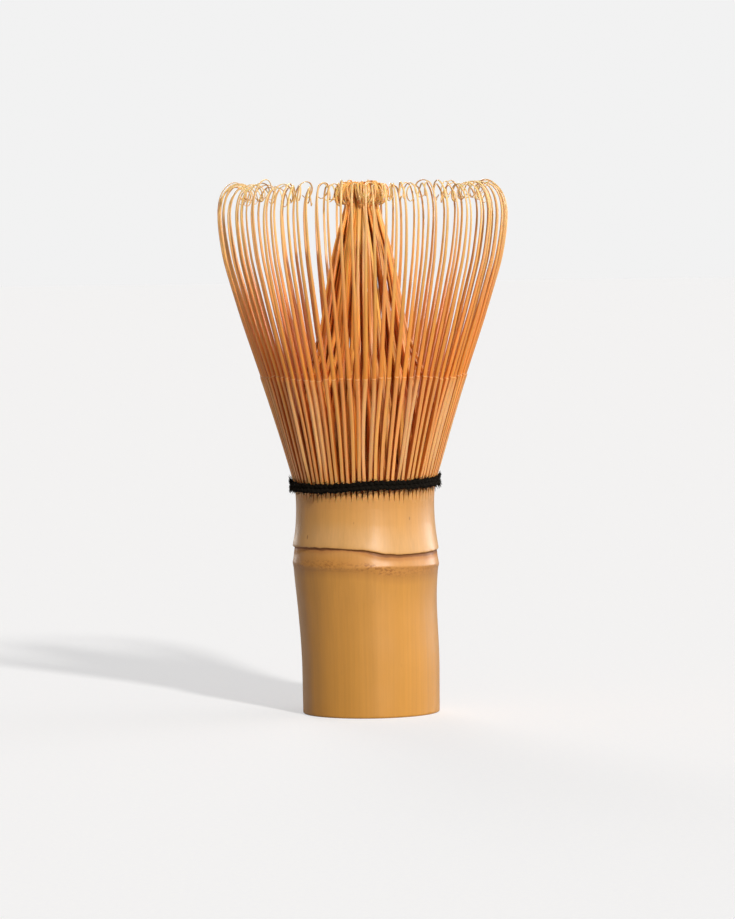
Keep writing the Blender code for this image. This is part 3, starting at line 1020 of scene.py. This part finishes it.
def make_world():
    """A bright, plain surround for the camera; for light, a soft glow from the right and front."""
    world = bpy.data.worlds.new("studio")
    scene.world = world
    world.use_nodes = True
    tree = world.node_tree
    tree.nodes.clear()
    out = tree.nodes.new("ShaderNodeOutputWorld")
    mix = tree.nodes.new("ShaderNodeMixShader")
    path = tree.nodes.new("ShaderNodeLightPath")
    soft = tree.nodes.new("ShaderNodeBackground")
    seen = tree.nodes.new("ShaderNodeBackground")
    coords = tree.nodes.new("ShaderNodeTexCoord")
    dot = tree.nodes.new("ShaderNodeVectorMath")
    dot.operation = "DOT_PRODUCT"
    dot.inputs[1].default_value = Vector((0.88, -0.35, 0.32)).normalized()
    fall = tree.nodes.new("ShaderNodeMapRange")
    fall.interpolation_type = "SMOOTHSTEP"
    fall.inputs["From Min"].default_value = -0.25
    fall.inputs["From Max"].default_value = 1.0
    fall.inputs["To Min"].default_value = 0.115
    fall.inputs["To Max"].default_value = 0.52
    tree.links.new(coords.outputs["Generated"], dot.inputs[0])
    tree.links.new(dot.outputs["Value"], fall.inputs["Value"])
    tint = tree.nodes.new("ShaderNodeMix")
    tint.data_type = "RGBA"
    tint.inputs[6].default_value = (1.0, 0.78, 0.55, 1)
    tint.inputs[7].default_value = (1.0, 0.985, 0.96, 1)
    tree.links.new(fall.outputs["Result"], tint.inputs[0])
    tree.links.new(tint.outputs[2], soft.inputs["Color"])
    # the broad window on the right shows more strongly in the gloss
    gloss = tree.nodes.new("ShaderNodeMath")
    gloss.operation = "MULTIPLY_ADD"
    gloss.inputs[1].default_value = 2.6
    gloss.inputs[2].default_value = 1.0
    tree.links.new(path.outputs["Is Glossy Ray"], gloss.inputs[0])
    power = tree.nodes.new("ShaderNodeMath")
    power.operation = "MULTIPLY"
    tree.links.new(fall.outputs["Result"], power.inputs[0])
    tree.links.new(gloss.outputs[0], power.inputs[1])
    tree.links.new(power.outputs[0], soft.inputs["Strength"])
    seen.inputs["Color"].default_value = (0.887, 0.887, 0.887, 1)
    seen.inputs["Strength"].default_value = 1.0
    tree.links.new(path.outputs["Is Camera Ray"], mix.inputs[0])
    tree.links.new(soft.outputs[0], mix.inputs[1])
    tree.links.new(seen.outputs[0], mix.inputs[2])
    tree.links.new(mix.outputs[0], out.inputs[0])


def sun(name, direction, strength, angle_deg, colour, diffuse=True):
    light = bpy.data.lights.new(name, "SUN")
    light.energy = strength
    light.angle = math.radians(angle_deg)
    light.color = colour
    obj = bpy.data.objects.new(name, light)
    obj.rotation_euler = Vector(direction).normalized().to_track_quat("Z", "Y").to_euler()
    obj.visible_diffuse = diffuse
    scene.collection.objects.link(obj)
    return obj


def make_camera():
    cam = bpy.data.cameras.new("camera")
    cam.sensor_fit = "VERTICAL"
    cam.sensor_height = 36.0
    cam.sensor_width = 36.0 * 735 / 919
    cam.lens = 36.0 * 5000.0 / 919.0
    cam.clip_start = 0.02
    cam.clip_end = 40.0
    obj = bpy.data.objects.new("camera", cam)
    scene.collection.objects.link(obj)
    elevation = math.radians(2.9)
    distance = 1.05
    target = Vector((0.00063, 0.0, 0.0532))
    back = Vector((0.0, -math.cos(elevation), math.sin(elevation)))
    obj.location = target + back * distance
    turn = back.to_track_quat("Z", "Y").to_matrix().to_4x4()
    roll = Matrix.Rotation(math.radians(-0.75), 4, "Z")
    obj.matrix_world = Matrix.Translation(obj.location) @ turn @ roll
    scene.camera = obj


make_stage()
make_world()
sun("key", (0.53, -1.12, 0.72), 2.50, 4.0, (1.0, 0.98, 0.95))
sun("side_window", (0.92, 0.25, 0.14), 0.85, 60.0, (0.98, 0.95, 1.04))
sun("edge_window", (0.80, 0.60, -0.06), 0.8, 28.0, (1.0, 1.0, 1.0), diffuse=False)
sun("glint", (0.33, -0.911, 0.20), 0.27, 11.0, (1.0, 1.0, 1.0), diffuse=False)
sun("rim", (-0.40, 0.90, 0.0), 0.40, 30.0, (1.0, 0.97, 0.94), diffuse=False)
sun("back_fill", (-0.22, 1.0, 0.45), 0.9, 25.0, (1.0, 0.97, 0.94))
make_camera()
